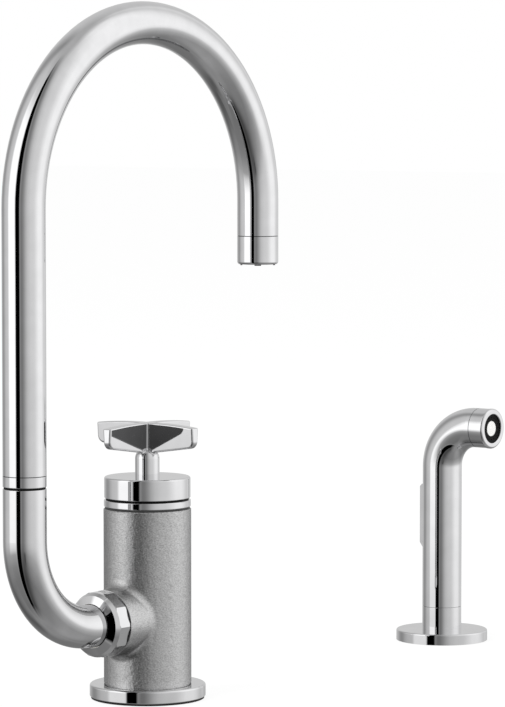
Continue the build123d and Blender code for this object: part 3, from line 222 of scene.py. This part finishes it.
# Two soft lamps, one high on the left and a weaker one on the right, give the matt pieces
# their form. The metal doesn't show them.
LAMP_AIM = Vector((0.1, 0, 0.15))
LAMP_SIZE = 1.6
for name, place, power in (("key_lamp", (-2.2, 0.6, 2.2), 60),
                           ("fill_lamp", (0.4, -2.6, 1.4), 24)):
    lamp = bpy.data.objects.new(name, bpy.data.lights.new(name, "AREA"))
    bpy.context.scene.collection.objects.link(lamp)
    lamp.data.energy = power
    lamp.data.size = LAMP_SIZE
    lamp.location = place
    lamp.rotation_euler = (LAMP_AIM - lamp.location).to_track_quat("-Z", "Y").to_euler()
    lamp.visible_glossy = False


# ---------------------------------------------------------------- flanges, trim and cap
# Turned brass rings and cup, polished and chrome plated: a cool mirror. A very fine trace of
# the turning is left, with a slow waviness from the polishing wheel and a faint haze. They
# clamp the column and the spray's holder to the deck, and close the column's top.
def finish(material, *names):
    """Gives these CAD nodes that material."""
    for name in names:
        data = nodes[name].data
        data.materials.clear()
        data.materials.append(material)


def noise(tree, size_mm, stretch=(1, 1, 1), detail=2.0):
    """Noise in object coordinates with grains of that size, drawn out by the stretch."""
    place = add(tree, "TexCoord").outputs["Object"]
    scale = [1 / (size_mm * MM * each) for each in stretch]
    spot = add(tree, "Mapping", {"Vector": place, "Scale": scale}).outputs[0]
    return add(tree, "TexNoise", {"Vector": spot, "Scale": 1.0, "Detail": detail}).outputs["Fac"]


def spread(tree, factor, low, high):
    """The factor's middle range spread from low to high."""
    return add(tree, "MapRange", {"Value": factor, "From Min": 0.3, "From Max": 0.7,
                                  "To Min": low, "To Max": high}).outputs[0]


def bumps(tree, layers):
    """A normal bumped by (noise, depth in mm) layers."""
    normal = None
    for height, depth_mm in layers:
        values = {"Height": height, "Distance": depth_mm * MM}
        if normal:
            values["Normal"] = normal
        normal = add(tree, "Bump", values).outputs[0]
    return normal


def in_band(tree, axis, middle_mm, width_mm):
    """1 in a band across the axis, 0 elsewhere."""
    place = add(tree, "TexCoord").outputs["Object"]
    along = add(tree, "SeparateXYZ", {0: place}).outputs[axis]
    return add(tree, "Math", {0: along, 1: middle_mm * MM, 2: width_mm * MM / 2},
               operation="COMPARE").outputs[0]


CHROME_LOW = "d9d9da"
CHROME_HIGH = "dfdfe0"
# The two seam colours below are painted shade: dark chrome tones laid along a seam to stand for
# the shadow in its gap.
SEAM_PAINTED_SHADE = "3a3a3c"
SEAM_FAINT_PAINTED_SHADE = "8a8a8c"


def chrome(name, wave_mm, wave_depth_mm, mark_mm, mark_stretch, mark_depth_mm, seam_shade_band=None,
           seam_shade_colour=SEAM_PAINTED_SHADE):
    """Chrome plate: a slow wave, fine marks and a haze, with a dark line of painted shade along a
    seam.
    """
    made, tree, out = new_material(name)
    haze = noise(tree, 9, detail=4.0)
    tone = ramp(tree, haze, ((0.3, CHROME_LOW), (0.7, CHROME_HIGH)))
    if seam_shade_band:
        # Painted shade: the seam's band gets a dark colour in place of the chrome's tone.
        tone = mix(tree, in_band(tree, *seam_shade_band), tone, linear(seam_shade_colour))
    normal = bumps(tree, ((noise(tree, wave_mm, detail=0.0), wave_depth_mm),
                          (noise(tree, mark_mm, mark_stretch), mark_depth_mm)))
    body = add(tree, "BsdfPrincipled", {"Base Color": tone, "Metallic": 1.0,
                                        "Roughness": spread(tree, haze, 0.02, 0.05),
                                        "Normal": normal})
    tree.links.new(body.outputs[0], out.inputs["Surface"])
    return made


turned_chrome = chrome("turned_chrome", 14, 0.004, 0.25, (20, 20, 1), 0.0001)
finish(turned_chrome, "base_flange", "trim_ring", "bonnet_cap", "spray_flange", "holder_collar")

# ---------------------------------------------------------------- cross handle
# The four blades and their stem are one brass casting, polished by hand and chrome plated.
# It has softer, closer waves than the turned pieces, so its flat facets mirror a little less
# truly. A set screw holds it on the spindle.
cast_chrome = chrome("cast_chrome", 8, 0.004, 0.6, (1, 1, 1), 0.0002)
finish(cast_chrome, "cross_handle")

# ---------------------------------------------------------------- cast body
# Sand-cast brass under satin chrome: the sand's grain stays under the plate, so that the
# light breaks into fine sparkle over a soft grey sheen, with a coarser unevenness below it.
# The sand is nearer 0.2 mm, and its grain is drawn coarser here so that it shows.
# The band below is painted shade: a dark band in the body's colour at its foot, where it meets the
# base flange, standing for the shadow in that joint.
FOOT_SHADE_BAND = ("Z", 8.2, 0.7)
FOOT_SHADE_COLOUR = "5c5c5e"
CAST_GRAIN_MM = 0.5
CAST_GRAIN_DEPTH_MM = 0.12
CAST_SWELL_MM = 2.6
CAST_SWELL_DEPTH_MM = 0.16
satin_cast, tree, out = new_material("satin_cast")
grain = noise(tree, CAST_GRAIN_MM, (2, 2, 1), 3.0)
swell = noise(tree, CAST_SWELL_MM, (1, 1, 1.5), 1.0)
tone = ramp(tree, grain, ((0.3, "b0b0b0"), (0.7, "dedede")))
# Painted shade at the foot of the body.
tone = mix(tree, in_band(tree, *FOOT_SHADE_BAND), tone, linear(FOOT_SHADE_COLOUR))
normal = bumps(tree, ((swell, CAST_SWELL_DEPTH_MM), (grain, CAST_GRAIN_DEPTH_MM)))
body = add(tree, "BsdfPrincipled", {"Base Color": tone, "Metallic": 1.0,
                                    "Specular Tint": linear("c0c0c0"),
                                    "Roughness": spread(tree, grain, 0.31, 0.43),
                                    "Normal": normal})
tree.links.new(body.outputs[0], out.inputs["Surface"])
finish(satin_cast, "faucet_body")

# ---------------------------------------------------------------- union nut
# Brass, turned and then milled with ten flats, chrome plated. It draws the tube's tailpiece
# against the body's boss. The lathe's fine rings run round the tube's axis.
nut_chrome = chrome("nut_chrome", 10, 0.004, 0.3, (1, 30, 30), 0.0006)
finish(nut_chrome, "union_nut")

# ---------------------------------------------------------------- elbow and spout
# Drawn brass tube, bent, polished along its length and chrome plated: the brightest and
# smoothest pieces. The foot band turns on the elbow's post, the outlet is screwed on, and
# at both seams a fine dark line of painted shade stands for the shadow in the gap.
FOOT_SEAM_SHADE = ("Z", 140.0, 0.5)
OUTLET_SEAM_SHADE = ("Z", 269.2, 0.5)
tube_chrome = chrome("tube_chrome", 40, 0.006, 0.5, (1, 1, 30), 0.0001)
foot_chrome = chrome("foot_chrome", 30, 0.006, 0.5, (20, 20, 1), 0.0001, FOOT_SEAM_SHADE)
outlet_chrome = chrome("outlet_chrome", 30, 0.004, 0.5, (20, 20, 1), 0.0001, OUTLET_SEAM_SHADE)
finish(tube_chrome, "elbow_tube", "spout_tube", "wand_tube")
finish(foot_chrome, "spout_foot")
finish(outlet_chrome, "outlet_housing")


# ---------------------------------------------------------------- bearing rings and seals
# Bearing rings, nozzle insert and aerator are moulded from black acetal, with a matt skin
# that stays black in a bright room. Gaskets and seals are moulded rubber, greyer and duller.
def plain(name, low, high, grain_mm, depth_mm, rough_low, rough_high, metallic=0.0, shine=0.5):
    """A material with a fine grain in its colour, its roughness and its surface."""
    made, tree, out = new_material(name)
    grain = noise(tree, grain_mm, detail=3.0)
    body = add(tree, "BsdfPrincipled", {"Base Color": ramp(tree, grain, ((0.3, low), (0.7, high))),
                                        "Metallic": metallic,
                                        "Specular IOR Level": shine,
                                        "Roughness": spread(tree, grain, rough_low, rough_high),
                                        "Normal": bumps(tree, ((grain, depth_mm),))})
    tree.links.new(body.outputs[0], out.inputs["Surface"])
    return made


black_plastic = plain("black_plastic", "050505", "0b0b0b", 0.5, 0.01, 0.45, 0.6, shine=0.12)
finish(black_plastic, "cap_glide", "swivel_washer", "nozzle_insert", "aerator_insert")
rubber = plain("rubber", "161616", "202020", 0.3, 0.02, 0.55, 0.75, shine=0.3)
finish(rubber, "base_gasket", "cartridge_seals", "spindle_seal", "union_washer",
       "swivel_o_rings", "spray_gasket", "connector_o_ring", "valve_seal", "aerator_washer")

# ---------------------------------------------------------------- spray head and trigger
# The head is turned and plated like the cap, with a fine seam behind it, which a faint line of
# painted shade marks. The trigger is a die casting under the same chrome, on a pin behind the
# wand. The middle of the nozzle and the bushes, cap and cartridge shells are pale acetal, smooth
# and slightly glossy.
HEAD_SEAM_SHADE = ("Y", -29.2, 0.5)
head_chrome = chrome("head_chrome", 14, 0.004, 0.3, (20, 1, 20), 0.0001, HEAD_SEAM_SHADE,
                     SEAM_FAINT_PAINTED_SHADE)
finish(head_chrome, "spray_head")
finish(turned_chrome, "nozzle_ring")
finish(cast_chrome, "trigger_paddle")
pale_plastic = plain("pale_plastic", "d4d4d2", "dededc", 0.5, 0.01, 0.3, 0.45)
finish(pale_plastic, "nozzle_core", "check_valves", "cartridge_base", "cartridge_shell",
       "holder_bush", "valve_cap")

# ---------------------------------------------------------------- pieces inside
# Bare machined brass, warm and bright, and nickel-plated brass at the union. Sintered ceramic
# discs are cream white and lapped. Springs, clips and screws are plain stainless steel. The
# washer under the trim ring is stainless steel painted near black, a painted shade for the shadow
# in the gap under the ring.
brass = plain("brass", "c8a25c", "d4b06a", 0.4, 0.01, 0.2, 0.32, 1.0)
finish(brass, "inlet_manifold", "diverter_sleeve", "diverter_piston", "spindle", "cartridge_nut",
       "cap_lock_nut", "swivel_post", "hose_connector", "connector_sleeve", "valve_body",
       "valve_stem")
nickel = plain("nickel", "a29e94", "b2aea4", 0.4, 0.008, 0.22, 0.34, 1.0)
finish(nickel, "union_tailpiece")
ceramic = plain("ceramic", "ecebe6", "f4f3ee", 0.8, 0.002, 0.12, 0.2)
finish(ceramic, "fixed_disc", "moving_disc")
stainless = plain("stainless", "b4b4b4", "c4c4c4", 0.3, 0.008, 0.22, 0.34, 1.0)
finish(stainless, "swivel_clip", "connector_clip", "handle_set_screw", "aerator_screen",
       "trigger_pin", "valve_spring")
# Painted shade: the washer is coloured near black to stand for the shadow under the trim ring.
gap_shade_stainless = plain("gap_shade_stainless", "303030", "3c3c3c", 0.3, 0.008, 0.4, 0.5, shine=0.2)
finish(gap_shade_stainless, "trim_washer")
